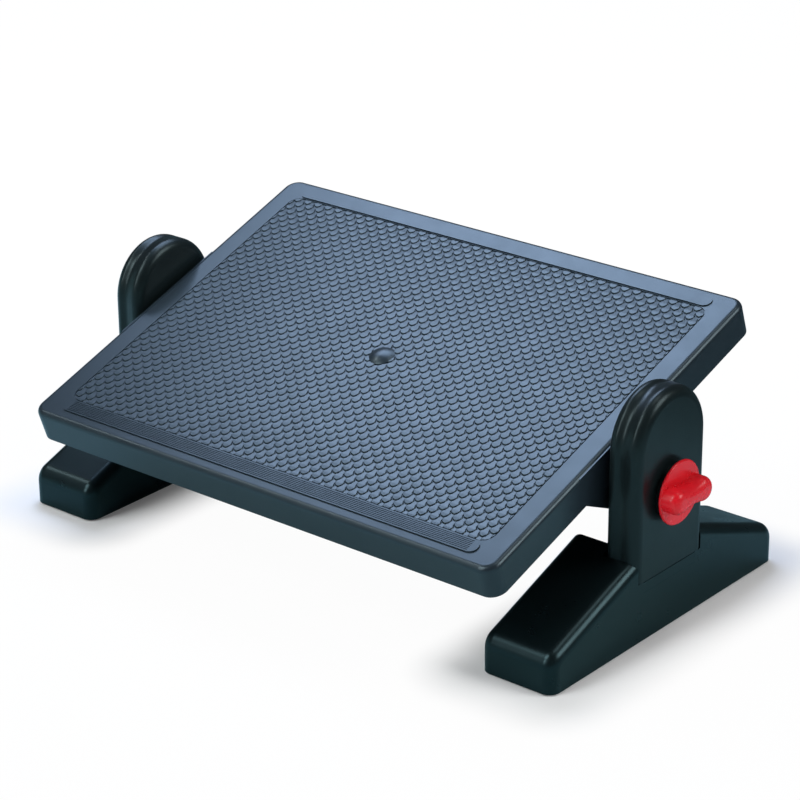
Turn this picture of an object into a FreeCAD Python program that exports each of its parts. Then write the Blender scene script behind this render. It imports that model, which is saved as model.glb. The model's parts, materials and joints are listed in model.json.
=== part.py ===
"""Tilting under-desk footrest: a ribbed tray that tilts between two uprights on two feet.

Frame: +Z up, X to the right along the tilt axis, Y towards the back. The origin is on the
floor, in the middle of the object's outline. Millimetres and degrees throughout.
"""
import FreeCAD, Part
import math
import os
import re
import Sketcher

# Driving sizes: name, value, what it measures
SIZES = (
    ("platform_width", 450, "width of the tray"),
    ("platform_depth", 327, "front to back of the tray, along its slope"),
    ("plate_thickness", 3, "top plate of the tray"),
    ("skirt_depth", 26.4, "height of the tray's skirt, square to the plate"),
    ("skirt_wall", 3, "thickness of the skirt"),
    ("corner_radius", 12, "plan corners of the tray"),
    ("edge_round", 4.5, "rounding of the tray's top edge"),
    ("top_above_pivot", 44.8, "top plate above the tilt axis"),
    ("tilt", 19, "slope of the tray as it stands"),
    ("tilt_least", 0, "level tray"),
    ("tilt_most", 30, "steepest tray"),
    ("pivot_height", 109.5, "tilt axis above the floor"),
    ("rib_thickness", 2, "ribs under the tray"),
    ("rib_setback", 2.4, "ribs stop short of the skirt's lower edge"),
    ("long_ribs", 8, "ribs from front to back"),
    ("cross_ribs", 6, "ribs from side to side"),
    ("field_margin", 19.7, "sides of the tread field from the tray's sides"),
    ("field_front", 24.2, "front of the tread field from the front edge"),
    ("field_back", 21, "back of the tread field from the back edge"),
    ("field_depth", 0.8, "how far the tread field is sunk"),
    ("field_corner", 10, "corners of the tread field"),
    ("strip_margin", 23, "ends of the raised strips from the tray's sides"),
    ("front_strip_width", 12.6, "front strip, front to back"),
    ("front_strip_inset", 17, "middle of the front strip from the front edge"),
    ("back_strip_width", 12, "back strip, front to back"),
    ("back_strip_inset", 14, "middle of the back strip from the back edge"),
    ("strip_height", 0.9, "raised strips above the plate"),
    ("dome_radius", 10.3, "round button in the middle of the tread"),
    ("dome_height", 2.6, "button above the plate"),
    ("strip_grooves", 7, "grooves along the front strip"),
    ("groove_width", 0.6, "width of a groove in the front strip"),
    ("groove_depth", 0.6, "depth of a groove in the front strip"),
    ("lug_radius", 24.5, "pivot lug round the tilt axis"),
    ("lug_flare", 56, "half length of the lug where it leaves the skirt"),
    ("lug_depth", 22, "thickness of the lug along the axis"),
    ("lug_wall", 3, "wall of the hollow lug"),
    ("lug_web", 4, "outer web of the lug"),
    ("lug_face_radius", 21, "rubbing face of the lug"),
    ("lug_proud", 1.7, "rubbing face beyond the tray's side"),
    ("hub_radius", 12.5, "hub inside the lug"),
    ("hub_rib", 2.5, "ribs between the hub and the lug's wall"),
    ("journal_radius", 10, "pivot journal on the inner shell"),
    ("journal_clearance", 0.08, "running clearance of the journal, on the radius"),
    ("journal_reach", 13.5, "depth of the journal's bore in the lug"),
    ("end_clearance", 0.4, "gap at the end of the journal"),
    ("tooth_radius", 15, "stop tooth on the journal"),
    ("tooth_angle", 22, "angle that the stop tooth fills"),
    ("tooth_length", 5, "length of the stop tooth along the axis"),
    ("tooth_clearance", 0.5, "gap over the stop tooth"),
    ("friction_thickness", 2, "friction washer between lug and upright"),
    ("rubbing_gap", 0.3, "gap between faces that rub on each other"),
    ("upright_thickness", 28.5, "upright along the axis"),
    ("upright_radius", 43, "half width of the upright and radius of its top"),
    ("upright_arch", 144.6, "centre of the upright's round top above the floor"),
    ("upright_round", 8, "rounded rims of the upright"),
    ("upright_wall", 3, "wall of the upright's shells"),
    ("shell_rib", 2.2, "ribs inside the upright's shells"),
    ("tube_wall", 4, "wall of the tube round the stud"),
    ("peg_radius", 2.5, "locating pegs between the shells"),
    ("peg_clearance", 0.1, "clearance of the pegs in their bosses, on the radius"),
    ("peg_length", 6, "length of the pegs past the split"),
    ("collar_radius", 20, "collar behind the knob"),
    ("collar_proud", 4.5, "collar beyond the upright's outer face"),
    ("collar_bore", 11, "recess in the collar for the knob's hub"),
    ("foot_half_length", 140.5, "half the length of a foot"),
    ("foot_width", 63.8, "width of a foot"),
    ("foot_end_height", 29, "height of a foot's ends"),
    ("ridge_height", 69.5, "top of a foot's wings"),
    ("ridge_offset", 32, "wing tops from the middle of the foot"),
    ("seat_height", 48.3, "saddle that the upright stands on"),
    ("foot_round", 9, "rounded edges of a foot"),
    ("foot_end_round", 14, "rounded tops of a foot's ends"),
    ("foot_wall", 3.5, "side walls of a foot"),
    ("foot_end_wall", 7.5, "end walls of a foot"),
    ("foot_horn", 0.8, "least thickness of a foot where it wraps the upright's rim"),
    ("foot_roof", 5, "sloping walls of a foot"),
    ("foot_rib", 2.5, "ribs inside a foot"),
    ("seat_plate", 3, "thickness of the saddle and of the socket's floor"),
    ("seat_clearance", 0.3, "gap round the upright where it enters the foot"),
    ("plug_half_width", 28, "half width of the plug below the upright"),
    ("plug_inset", 3.3, "plug in from the upright's faces"),
    ("plug_depth", 30.3, "depth of the plug below the saddle"),
    ("socket_clearance", 0.2, "gap round the plug in its socket"),
    ("screw_radius", 2, "foot screws"),
    ("screw_clearance", 0.4, "screw holes in the foot, on the radius"),
    ("screw_length", 18, "length of the foot screws"),
    ("screw_head_radius", 3.8, "heads of the foot screws"),
    ("screw_head_height", 2.6, "height of the screws' heads"),
    ("screw_offset", 18, "foot screws in front of and behind the middle"),
    ("pad_radius", 9, "rubber pads under the feet"),
    ("pad_thickness", 3, "thickness of the rubber pads"),
    ("pad_proud", 1.2, "pads below the foot's lower edge"),
    ("pad_inset", 19, "pads in from the ends of the foot"),
    ("pad_side_inset", 16, "pads in from the sides of the foot"),
    ("pad_clearance", 0.2, "gap round a pad in its recess"),
    ("column_wall", 2, "wall round a pad's recess"),
    ("stud_radius", 4, "clamping stud"),
    ("stud_clearance", 0.5, "stud in its plain holes, on the radius"),
    ("thread_clearance", 0.05, "stud in the nut, on the radius"),
    ("thread_pitch", 1.25, "the stud's travel in one turn of the knob"),
    ("knob_turns", 1.25, "turns of the knob from clamped to the clip's stop"),
    ("stud_in_knob", 14, "stud sunk into the knob"),
    ("clip_groove_radius", 3.2, "groove for the retaining clip"),
    ("clip_radius", 6.5, "outside of the retaining clip"),
    ("clip_thickness", 1, "thickness of the retaining clip"),
    ("clip_setback", 2, "clip from the end of the stud"),
    ("nut_across", 13, "across the flats of the clamp nut"),
    ("nut_thickness", 6.5, "thickness of the clamp nut"),
    ("nut_clearance", 0.15, "gap round the nut in its pocket"),
    ("nut_sunk", 0.5, "nut below the lug's inner face"),
    ("washer_radius", 8, "steel washer under the knob"),
    ("washer_thickness", 1.6, "thickness of the steel washer"),
    ("knob_radius", 24.5, "flange of the knob"),
    ("knob_flange", 2.6, "thickness of the knob's flange"),
    ("knob_rim", 1.2, "rounded rim of the knob's flange"),
    ("knob_hub_radius", 9, "knob's hub inside the collar"),
    ("wing_reach", 14.8, "centres of the knob's lobes from the axis"),
    ("wing_lobe", 9.5, "radius of the knob's lobes"),
    ("wing_waist", 7.5, "half width of the wing in the middle"),
    ("wing_height", 13.5, "wing beyond the flange"),
    ("wing_round", 6.5, "rounded top of the wing"),
)

# Places and sizes that follow from the driving ones
DERIVED = {
    "side": "platform_width / 2",
    "field_side": "side - field_margin",
    "strip_length": "platform_width - 2 * strip_margin",
    "groove_pitch": "front_strip_width / (strip_grooves + 1)",
    "strip_top": "top_above_pivot + strip_height",
    "dome_curve": "(dome_radius ^ 2 + dome_height ^ 2) / (2 * dome_height)",
    "lug_inner": "side - lug_depth",
    "lug_face": "side + lug_proud",
    "inner_face": "lug_face + friction_thickness + rubbing_gap",
    "outer_face": "inner_face + upright_thickness",
    "split": "inner_face + upright_thickness / 2",
    "collar_face": "outer_face + collar_proud",
    "journal_end": "lug_face - journal_reach + end_clearance",
    "stud_hole": "stud_radius + stud_clearance",
    "tube_radius": "stud_hole + tube_wall",
    "rib_reach": "upright_radius - upright_round + upright_wall",
    "skirt_foot": "top_above_pivot - skirt_depth",
    "plate_under": "top_above_pivot - plate_thickness",
    "foot_inner": "outer_face - foot_width",
    "plug_foot": "seat_height - plug_depth",
    "socket_half_width": "plug_half_width + socket_clearance",
    "bay_reach": "upright_radius + seat_clearance",
    "bay_curve": "upright_round + seat_clearance",
    "horn_reach": "upright_radius - upright_round"
                  " + sqrt(bay_curve ^ 2 - (upright_round - foot_horn) ^ 2)",
    "foot_slope": "(ridge_height - foot_end_height) / (foot_half_length - ridge_offset)",
    "roof_drop": "foot_roof * sqrt(1 + foot_slope ^ 2)",
    "knob_hub_foot": "outer_face + washer_thickness + rubbing_gap",
    "knob_back": "collar_face + rubbing_gap",
    "knob_front": "knob_back + knob_flange",
    "clip_gap": "thread_pitch * knob_turns",
    "stud_tip": "lug_inner + nut_sunk - clip_gap - clip_thickness - clip_setback",
    "stud_head": "knob_back + stud_in_knob - collar_proud",
    "nut_circle": "nut_across / sqrt(3)",
    "front_reach": "(platform_depth / 2 - edge_round) * cos(tilt)"
                   " + (top_above_pivot - edge_round) * sin(tilt) + edge_round",
    "back_reach": "platform_depth / 2 * cos(tilt) - skirt_foot * sin(tilt)",
    "pivot_place": "(front_reach - back_reach) / 2",
}

DOC = FreeCAD.newDocument("Footrest")
SHEET = DOC.addObject("Spreadsheet::Sheet", "Sizes")
NODES = []


def fill_sheet():
    """Writes every driving size into the sheet, one row each."""
    for row, (name, value, meaning) in enumerate(SIZES, start=1):
        SHEET.set(f"A{row}", name)
        SHEET.set(f"B{row}", str(value))
        SHEET.set(f"C{row}", meaning)
        SHEET.setAlias(f"B{row}", name)
    DOC.recompute()


def formula(text):
    """Turns a formula of plain size names into one that reads the sheet."""
    names = {name for name, _, _ in SIZES}

    def swap(match):
        word = match.group(0)
        if word in DERIVED:
            return "(" + formula(DERIVED[word]) + ")"
        return "Sizes." + word if word in names else word

    return re.sub(r"[a-z_]+", swap, text)


def number(text):
    """The value of a formula, as the sheet stands."""
    return float(SHEET.evalExpression(formula(text)))


def bind(item, path, text):
    """Binds one property of an object to a formula."""
    item.setExpression(path, formula(text))


def origin_feature(body, role):
    """One of a body's own origin planes or axes."""
    return next(item for item in body.Origin.OriginFeatures if item.Role == role)


def new_body(label):
    """An empty body that becomes a node of that name."""
    body = DOC.addObject("PartDesign::Body", label)
    body.Label = label
    NODES.append(body)
    return body


def new_sketch(body, name, plane, offset="0"):
    """A sketch on an origin plane of the body, moved along the plane's normal."""
    sketch = body.newObject("Sketcher::SketchObject", name)
    sketch.AttachmentSupport = [(origin_feature(body, plane), "")]
    sketch.MapMode = "FlatFace"
    bind(sketch, "AttachmentOffset.Base.z", offset)
    return sketch


def hold(sketch, kind, first, point, text):
    """Holds one point of the sketch at a distance from the sketch's origin."""
    value = number(text)
    index = sketch.addConstraint(Sketcher.Constraint(kind, -1, 1, first, point, value))
    bind(sketch, f"Constraints[{index}]", text)


def hold_point(sketch, first, point, x, y):
    """Holds one point of the sketch at x, y."""
    hold(sketch, "DistanceX", first, point, x)
    hold(sketch, "DistanceY", first, point, y)


def hold_radius(sketch, edge, text):
    """Holds the radius of an arc or circle."""
    index = sketch.addConstraint(Sketcher.Constraint("Radius", edge, number(text)))
    bind(sketch, f"Constraints[{index}]", text)


def draw_polygon(sketch, points):
    """A closed outline of straight lines through the points, each a pair of formulas."""
    places = [FreeCAD.Vector(number(x), number(y), 0) for x, y in points]
    edges = []
    for start, end in zip(places, places[1:] + places[:1]):
        edges.append(sketch.addGeometry(Part.LineSegment(start, end), False))
    for edge, following in zip(edges, edges[1:] + edges[:1]):
        sketch.addConstraint(Sketcher.Constraint("Coincident", edge, 2, following, 1))
    for edge, (x, y) in zip(edges, points):
        hold_point(sketch, edge, 1, x, y)


def draw_rectangle(sketch, left, bottom, right, top):
    """A closed rectangle between two corners, all four given as formulas."""
    draw_polygon(sketch, [(left, bottom), (right, bottom), (right, top), (left, top)])


def draw_circle(sketch, x, y, radius):
    """A circle, its place and radius given as formulas."""
    centre = FreeCAD.Vector(number(x), number(y), 0)
    circle = Part.Circle(centre, FreeCAD.Vector(0, 0, 1), number(radius))
    edge = sketch.addGeometry(circle, False)
    hold_point(sketch, edge, 3, x, y)
    hold_radius(sketch, edge, radius)


def draw_arc(sketch, x, y, radius, start, end):
    """An arc about x, y between two angles in degrees; returns its number."""
    circle = Part.Circle(FreeCAD.Vector(x, y, 0), FreeCAD.Vector(0, 0, 1), radius)
    arc = Part.ArcOfCircle(circle, math.radians(start), math.radians(end))
    return sketch.addGeometry(arc, False)


def draw_arch(sketch, radius, centre, foot):
    """A door shape: two upright sides at plus and minus radius under a half circle."""
    r, c, f = number(radius), number(centre), number(foot)
    corners = [FreeCAD.Vector(x, y, 0) for x, y in ((-r, c), (-r, f), (r, f), (r, c))]
    left = sketch.addGeometry(Part.LineSegment(corners[0], corners[1]), False)
    base = sketch.addGeometry(Part.LineSegment(corners[1], corners[2]), False)
    right = sketch.addGeometry(Part.LineSegment(corners[2], corners[3]), False)
    arc = draw_arc(sketch, 0, c, r, 0, 180)
    sketch.addConstraint(Sketcher.Constraint("Coincident", left, 2, base, 1))
    sketch.addConstraint(Sketcher.Constraint("Coincident", base, 2, right, 1))
    sketch.addConstraint(Sketcher.Constraint("Tangent", right, 2, arc, 1))
    sketch.addConstraint(Sketcher.Constraint("Tangent", arc, 2, left, 1))
    sketch.addConstraint(Sketcher.Constraint("Vertical", left))
    hold_point(sketch, base, 1, "-(" + radius + ")", foot)
    hold_point(sketch, base, 2, radius, foot)
    hold_point(sketch, arc, 3, "0", centre)


def draw_lug(sketch, radius, flare, foot, top):
    """A lug's outline: a round end about the origin that flares up to a straight top."""
    r, w, f, t = number(radius), number(flare), number(foot), number(top)
    reach = math.hypot(w, f)
    turn = math.degrees(math.atan2(f, w) - math.acos(r / reach))
    touch = FreeCAD.Vector(r * math.cos(math.radians(turn)), r * math.sin(math.radians(turn)), 0)
    mirrored = FreeCAD.Vector(-touch.x, touch.y, 0)
    corners = [FreeCAD.Vector(x, y, 0) for x, y in ((-w, f), (-w, t), (w, t), (w, f))]
    slope_left = sketch.addGeometry(Part.LineSegment(mirrored, corners[0]), False)
    left = sketch.addGeometry(Part.LineSegment(corners[0], corners[1]), False)
    roof = sketch.addGeometry(Part.LineSegment(corners[1], corners[2]), False)
    right = sketch.addGeometry(Part.LineSegment(corners[2], corners[3]), False)
    slope_right = sketch.addGeometry(Part.LineSegment(corners[3], touch), False)
    arc = draw_arc(sketch, 0, 0, r, 180 - turn, 360 + turn)
    for edge, following in ((slope_left, left), (left, roof), (roof, right), (right, slope_right)):
        sketch.addConstraint(Sketcher.Constraint("Coincident", edge, 2, following, 1))
    sketch.addConstraint(Sketcher.Constraint("Tangent", slope_right, 2, arc, 2))
    sketch.addConstraint(Sketcher.Constraint("Tangent", arc, 1, slope_left, 1))
    hold_point(sketch, left, 1, "-(" + flare + ")", foot)
    hold_point(sketch, left, 2, "-(" + flare + ")", top)
    hold_point(sketch, right, 1, flare, top)
    hold_point(sketch, right, 2, flare, foot)
    hold_point(sketch, arc, 3, "0", "0")
    hold_radius(sketch, arc, radius)


def draw_wedge(sketch, radius, start, end):
    """A pie slice about the origin between two angles, in degrees from the sketch's x."""
    r = number(radius)
    a, b = math.radians(number(start)), math.radians(number(end))
    tip = FreeCAD.Vector(0, 0, 0)
    first = FreeCAD.Vector(r * math.cos(a), r * math.sin(a), 0)
    last = FreeCAD.Vector(r * math.cos(b), r * math.sin(b), 0)
    out = sketch.addGeometry(Part.LineSegment(tip, first), False)
    back = sketch.addGeometry(Part.LineSegment(last, tip), False)
    arc = draw_arc(sketch, 0, 0, r, number(start), number(end))
    sketch.addConstraint(Sketcher.Constraint("Coincident", out, 2, arc, 1))
    sketch.addConstraint(Sketcher.Constraint("Coincident", arc, 2, back, 1))
    sketch.addConstraint(Sketcher.Constraint("Coincident", out, 1, -1, 1))
    sketch.addConstraint(Sketcher.Constraint("Coincident", back, 2, -1, 1))
    hold_point(sketch, out, 2, f"({radius}) * cos({start})", f"({radius}) * sin({start})")
    hold_point(sketch, back, 1, f"({radius}) * cos({end})", f"({radius}) * sin({end})")


def draw_slot(sketch, y, length, width):
    """A strip with round ends along the sketch's x, about the point 0, y."""
    half, r, middle = number(length) / 2 - number(width) / 2, number(width) / 2, number(y)
    low = sketch.addGeometry(Part.LineSegment(FreeCAD.Vector(-half, middle - r, 0),
                                              FreeCAD.Vector(half, middle - r, 0)), False)
    right = draw_arc(sketch, half, middle, r, -90, 90)
    high = sketch.addGeometry(Part.LineSegment(FreeCAD.Vector(half, middle + r, 0),
                                               FreeCAD.Vector(-half, middle + r, 0)), False)
    left = draw_arc(sketch, -half, middle, r, 90, 270)
    sketch.addConstraint(Sketcher.Constraint("Tangent", low, 2, right, 1))
    sketch.addConstraint(Sketcher.Constraint("Tangent", right, 2, high, 1))
    sketch.addConstraint(Sketcher.Constraint("Tangent", high, 2, left, 1))
    sketch.addConstraint(Sketcher.Constraint("Tangent", left, 2, low, 1))
    hold_point(sketch, right, 3, f"{length} / 2 - {width} / 2", y)
    hold_point(sketch, left, 3, f"{width} / 2 - {length} / 2", y)
    hold_radius(sketch, right, f"{width} / 2")


def draw_dome(sketch, radius, foot, rim):
    """Half a button: an upright side from foot to rim under an arc that ends on the axis."""
    r, low, high = number(radius), number(foot), number(rim)
    crown = number(rim + " + dome_height")
    curve = number("dome_curve")
    corners = [FreeCAD.Vector(x, z, 0) for x, z in ((0, crown), (0, low), (r, low), (r, high))]
    axis = sketch.addGeometry(Part.LineSegment(corners[0], corners[1]), False)
    base = sketch.addGeometry(Part.LineSegment(corners[1], corners[2]), False)
    side = sketch.addGeometry(Part.LineSegment(corners[2], corners[3]), False)
    lean = math.degrees(math.acos(r / curve))
    arc = draw_arc(sketch, 0, crown - curve, curve, lean, 90)
    for edge, end, following, start in ((axis, 2, base, 1), (base, 2, side, 1),
                                        (side, 2, arc, 1), (arc, 2, axis, 1)):
        sketch.addConstraint(Sketcher.Constraint("Coincident", edge, end, following, start))
    hold_point(sketch, axis, 1, "0", f"{rim} + dome_height")
    hold_point(sketch, base, 1, "0", foot)
    hold_point(sketch, base, 2, radius, foot)
    hold_point(sketch, arc, 3, "0", f"{rim} + dome_height - dome_curve")
    hold(sketch, "DistanceX", side, 2, radius)


def draw_bay(sketch, back, front):
    """The upright's bay in a foot, in plan: its open end follows the upright's rounded rims."""
    reach, curve, horn = (number(name) for name in ("bay_reach", "bay_curve", "horn_reach"))
    start, end, turn = number(back), number(front), number("outer_face - upright_round")
    middle = number("upright_radius - upright_round")
    tip = number("outer_face - foot_horn")
    lean = math.degrees(math.acos((tip - turn) / curve))
    places = [FreeCAD.Vector(x, y, 0) for x, y in (
        (turn, reach), (start, reach), (start, -reach), (turn, -reach), (tip, -horn),
        (end, -horn), (end, horn), (tip, horn))]
    sides = [sketch.addGeometry(Part.LineSegment(places[i], places[i + 1]), False)
             for i in (0, 1, 2, 4, 5, 6)]
    low = draw_arc(sketch, turn, -middle, curve, -90, -lean)
    high = draw_arc(sketch, turn, middle, curve, lean, 90)
    joins = [(sides[0], 2, sides[1], 1), (sides[1], 2, sides[2], 1), (sides[2], 2, low, 1),
             (low, 2, sides[3], 1), (sides[3], 2, sides[4], 1), (sides[4], 2, sides[5], 1),
             (sides[5], 2, high, 1), (high, 2, sides[0], 1)]
    for edge, edge_end, following, following_end in joins:
        sketch.addConstraint(Sketcher.Constraint("Coincident", edge, edge_end,
                                                 following, following_end))
    hold_point(sketch, sides[1], 1, back, "bay_reach")
    hold_point(sketch, sides[1], 2, back, "-(bay_reach)")
    hold_point(sketch, sides[4], 1, front, "-(horn_reach)")
    hold_point(sketch, sides[4], 2, front, "horn_reach")
    for arc, sign, place in ((low, "-", sides[2]), (high, "", sides[0])):
        hold_point(sketch, arc, 3, "outer_face - upright_round",
                   f"{sign}(upright_radius - upright_round)")
    hold_point(sketch, sides[0], 1, "outer_face - upright_round", "bay_reach")
    hold_point(sketch, sides[2], 2, "outer_face - upright_round", "-(bay_reach)")
    hold(sketch, "DistanceX", sides[3], 1, "outer_face - foot_horn")
    hold(sketch, "DistanceX", sides[5], 2, "outer_face - foot_horn")


def draw_bow(sketch, reach, lobe, waist):
    """The wing's outline: two round lobes joined by two hollow flanks."""
    a, r, w = number(reach), number(lobe), number(waist)
    flank = f"({reach} ^ 2 + {waist} ^ 2 - {lobe} ^ 2) / (2 * ({lobe} - {waist}))"
    big = number(flank)
    lean = math.degrees(math.atan2(w + big, a))
    right = draw_arc(sketch, a, 0, r, lean - 180, 180 - lean)
    upper = draw_arc(sketch, 0, w + big, big, 180 + lean, 360 - lean)
    left = draw_arc(sketch, -a, 0, r, lean, 360 - lean)
    lower = draw_arc(sketch, 0, -w - big, big, lean, 180 - lean)
    sketch.addConstraint(Sketcher.Constraint("Tangent", right, 2, upper, 2))
    sketch.addConstraint(Sketcher.Constraint("Tangent", upper, 1, left, 1))
    sketch.addConstraint(Sketcher.Constraint("Tangent", left, 2, lower, 2))
    sketch.addConstraint(Sketcher.Constraint("Tangent", lower, 1, right, 1))
    hold_point(sketch, right, 3, reach, "0")
    hold_point(sketch, left, 3, "-" + reach, "0")
    for edge, radius in ((right, lobe), (left, lobe), (upper, flank), (lower, flank)):
        hold_radius(sketch, edge, radius)


def pad(body, name, sketch, length):
    """Adds material along the sketch's normal."""
    feature = body.newObject("PartDesign::Pad", name)
    feature.Profile = sketch
    bind(feature, "Length", length)
    DOC.recompute()
    return feature


def pocket(body, name, sketch, length, forward=True):
    """Cuts along the sketch's normal, or against it, and makes sure that it cut."""
    before = body.Shape.Volume
    feature = body.newObject("PartDesign::Pocket", name)
    feature.Profile = sketch
    feature.Reversed = forward
    bind(feature, "Length", length)
    DOC.recompute()
    if feature.Shape.Volume > before - 0.01:
        raise RuntimeError(f"{body.Label}: {name} cut nothing")
    return feature


def round_edges(body, name, wanted, radius):
    """Rounds the edges of the body's last feature that the test picks."""
    base = body.Tip
    picked = [f"Edge{index}" for index, edge in enumerate(base.Shape.Edges, start=1) if wanted(edge)]
    if not picked:
        raise RuntimeError(f"{body.Label}: {name} found no edges")
    feature = body.newObject("PartDesign::Fillet", name)
    feature.Base = (base, picked)
    bind(feature, "Radius", radius)
    DOC.recompute()
    return feature


def repeat(body, name, feature, axis, length, count):
    """Repeats a feature in a straight row."""
    row = body.newObject("PartDesign::LinearPattern", name)
    row.Originals = [feature]
    row.Direction = (origin_feature(body, axis), [""])
    bind(row, "Length", length)
    bind(row, "Occurrences", count)
    body.Tip = row
    DOC.recompute()
    return row


def spin(body, name, sketch, axis="X_Axis"):
    """Turns a profile right round one of the body's axes."""
    feature = body.newObject("PartDesign::Revolution", name)
    feature.Profile = sketch
    feature.ReferenceAxis = (origin_feature(body, axis), [""])
    feature.Angle = 360
    DOC.recompute()
    return feature


def near(value, target):
    """True where two lengths are the same."""
    return abs(value - target) < 1e-4


def edge_box(edge):
    """Lowest and highest corners of an edge."""
    box = edge.BoundBox
    return (box.XMin, box.YMin, box.ZMin), (box.XMax, box.YMax, box.ZMax)


def stand(item, height="0"):
    """Puts a side part over or at the tilt axis."""
    bind(item, "Placement.Base.y", "pivot_place")
    bind(item, "Placement.Base.z", height)


def tilt_with_tray(item):
    """Puts a part that is drawn about the tilt axis there, sloped as the tray stands."""
    turn = FreeCAD.Rotation(FreeCAD.Vector(1, 0, 0), number("tilt"))
    item.Placement = FreeCAD.Placement(FreeCAD.Vector(0, 0, 0), turn)
    bind(item, "Placement.Rotation.Angle", "tilt")
    stand(item, "pivot_height")


def build_platform():
    """The tray: plate, skirt, ribs, tread field, strips, button and two pivot lugs."""
    body = new_body("platform")
    plan = new_sketch(body, "platform_plan", "XY_Plane", "skirt_foot")
    draw_rectangle(plan, "-side", "-platform_depth / 2", "side", "platform_depth / 2")
    pad(body, "platform_block", plan, "skirt_depth")
    hollow = new_sketch(body, "tray_hollow_plan", "XY_Plane", "skirt_foot")
    draw_rectangle(hollow, "skirt_wall - side", "skirt_wall - platform_depth / 2",
                   "side - skirt_wall", "platform_depth / 2 - skirt_wall")
    pocket(body, "tray_hollow", hollow, "skirt_depth - plate_thickness")
    inner = number("side - skirt_wall")
    deep = number("skirt_depth - plate_thickness")

    def hollow_corner(edge):
        box = edge.BoundBox
        return near(box.ZLength, deep) and near(abs(box.XMin), inner) and near(box.XLength, 0)

    round_edges(body, "tray_hollow_corners", hollow_corner, "corner_radius - skirt_wall")
    height = number("skirt_depth")
    round_edges(body, "platform_corners", lambda e: near(e.BoundBox.ZLength, height),
                "corner_radius")
    top = number("top_above_pivot")
    round_edges(body, "platform_edge", lambda e: near(e.BoundBox.ZMin, top), "edge_round")

    build_lugs(body)
    pitch_x = "platform_width / (long_ribs + 1)"
    pitch_y = "platform_depth / (cross_ribs + 1)"
    low = "skirt_foot + rib_setback"
    rise = "skirt_depth - rib_setback - plate_thickness / 2"
    rib = new_sketch(body, "long_rib_plan", "XY_Plane", low)
    draw_rectangle(rib, f"{pitch_x} - side - rib_thickness / 2",
                   "skirt_wall / 2 - platform_depth / 2",
                   f"{pitch_x} - side + rib_thickness / 2",
                   "platform_depth / 2 - skirt_wall / 2")
    first = pad(body, "long_rib", rib, rise)
    repeat(body, "long_rib_row", first, "X_Axis", f"{pitch_x} * (long_ribs - 1)", "long_ribs")
    rib = new_sketch(body, "cross_rib_plan", "XY_Plane", low)
    draw_rectangle(rib, "skirt_wall / 2 - side",
                   f"{pitch_y} - platform_depth / 2 - rib_thickness / 2",
                   "side - skirt_wall / 2",
                   f"{pitch_y} - platform_depth / 2 + rib_thickness / 2")
    first = pad(body, "cross_rib", rib, rise)
    repeat(body, "cross_rib_row", first, "Y_Axis", f"{pitch_y} * (cross_ribs - 1)", "cross_ribs")

    build_tread(body)
    tilt_with_tray(body)


def build_tread(body):
    """The top of the tray: sunk field, a grooved and a plain strip, and the domed button."""
    field = new_sketch(body, "field_plan", "XY_Plane", "top_above_pivot - field_depth")
    draw_rectangle(field, "-(field_side)", "field_front - platform_depth / 2",
                   "field_side", "platform_depth / 2 - field_back")
    pocket(body, "tread_field", field, "field_depth + 1")
    depth, half = number("field_depth"), number("field_side")

    def field_corner(edge):
        box = edge.BoundBox
        return near(box.ZLength, depth) and near(abs(box.XMin), half) and near(box.XLength, 0)

    round_edges(body, "field_corners", field_corner, "field_corner")
    for name, place, width in (
            ("front_strip", "front_strip_inset - platform_depth / 2", "front_strip_width"),
            ("back_strip", "platform_depth / 2 - back_strip_inset", "back_strip_width")):
        strip = new_sketch(body, name + "_plan", "XY_Plane",
                           "top_above_pivot - plate_thickness / 2")
        draw_slot(strip, place, "strip_length", width)
        pad(body, name, strip, "plate_thickness / 2 + strip_height")
    groove = new_sketch(body, "groove_plan", "XY_Plane", "strip_top - groove_depth")
    draw_rectangle(groove, "front_strip_width / 2 - strip_length / 2",
                   "front_strip_inset - platform_depth / 2 - groove_width / 2"
                   " - groove_pitch * (strip_grooves - 1) / 2",
                   "strip_length / 2 - front_strip_width / 2",
                   "front_strip_inset - platform_depth / 2 + groove_width / 2"
                   " - groove_pitch * (strip_grooves - 1) / 2")
    first = pocket(body, "strip_groove", groove, "groove_depth + 1")
    repeat(body, "strip_groove_row", first, "Y_Axis", "groove_pitch * (strip_grooves - 1)",
           "strip_grooves")
    dome = new_sketch(body, "dome_profile", "XZ_Plane")
    draw_dome(dome, "dome_radius", "top_above_pivot - plate_thickness / 2", "top_above_pivot")
    spin(body, "dome", dome, "Z_Axis")


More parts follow.
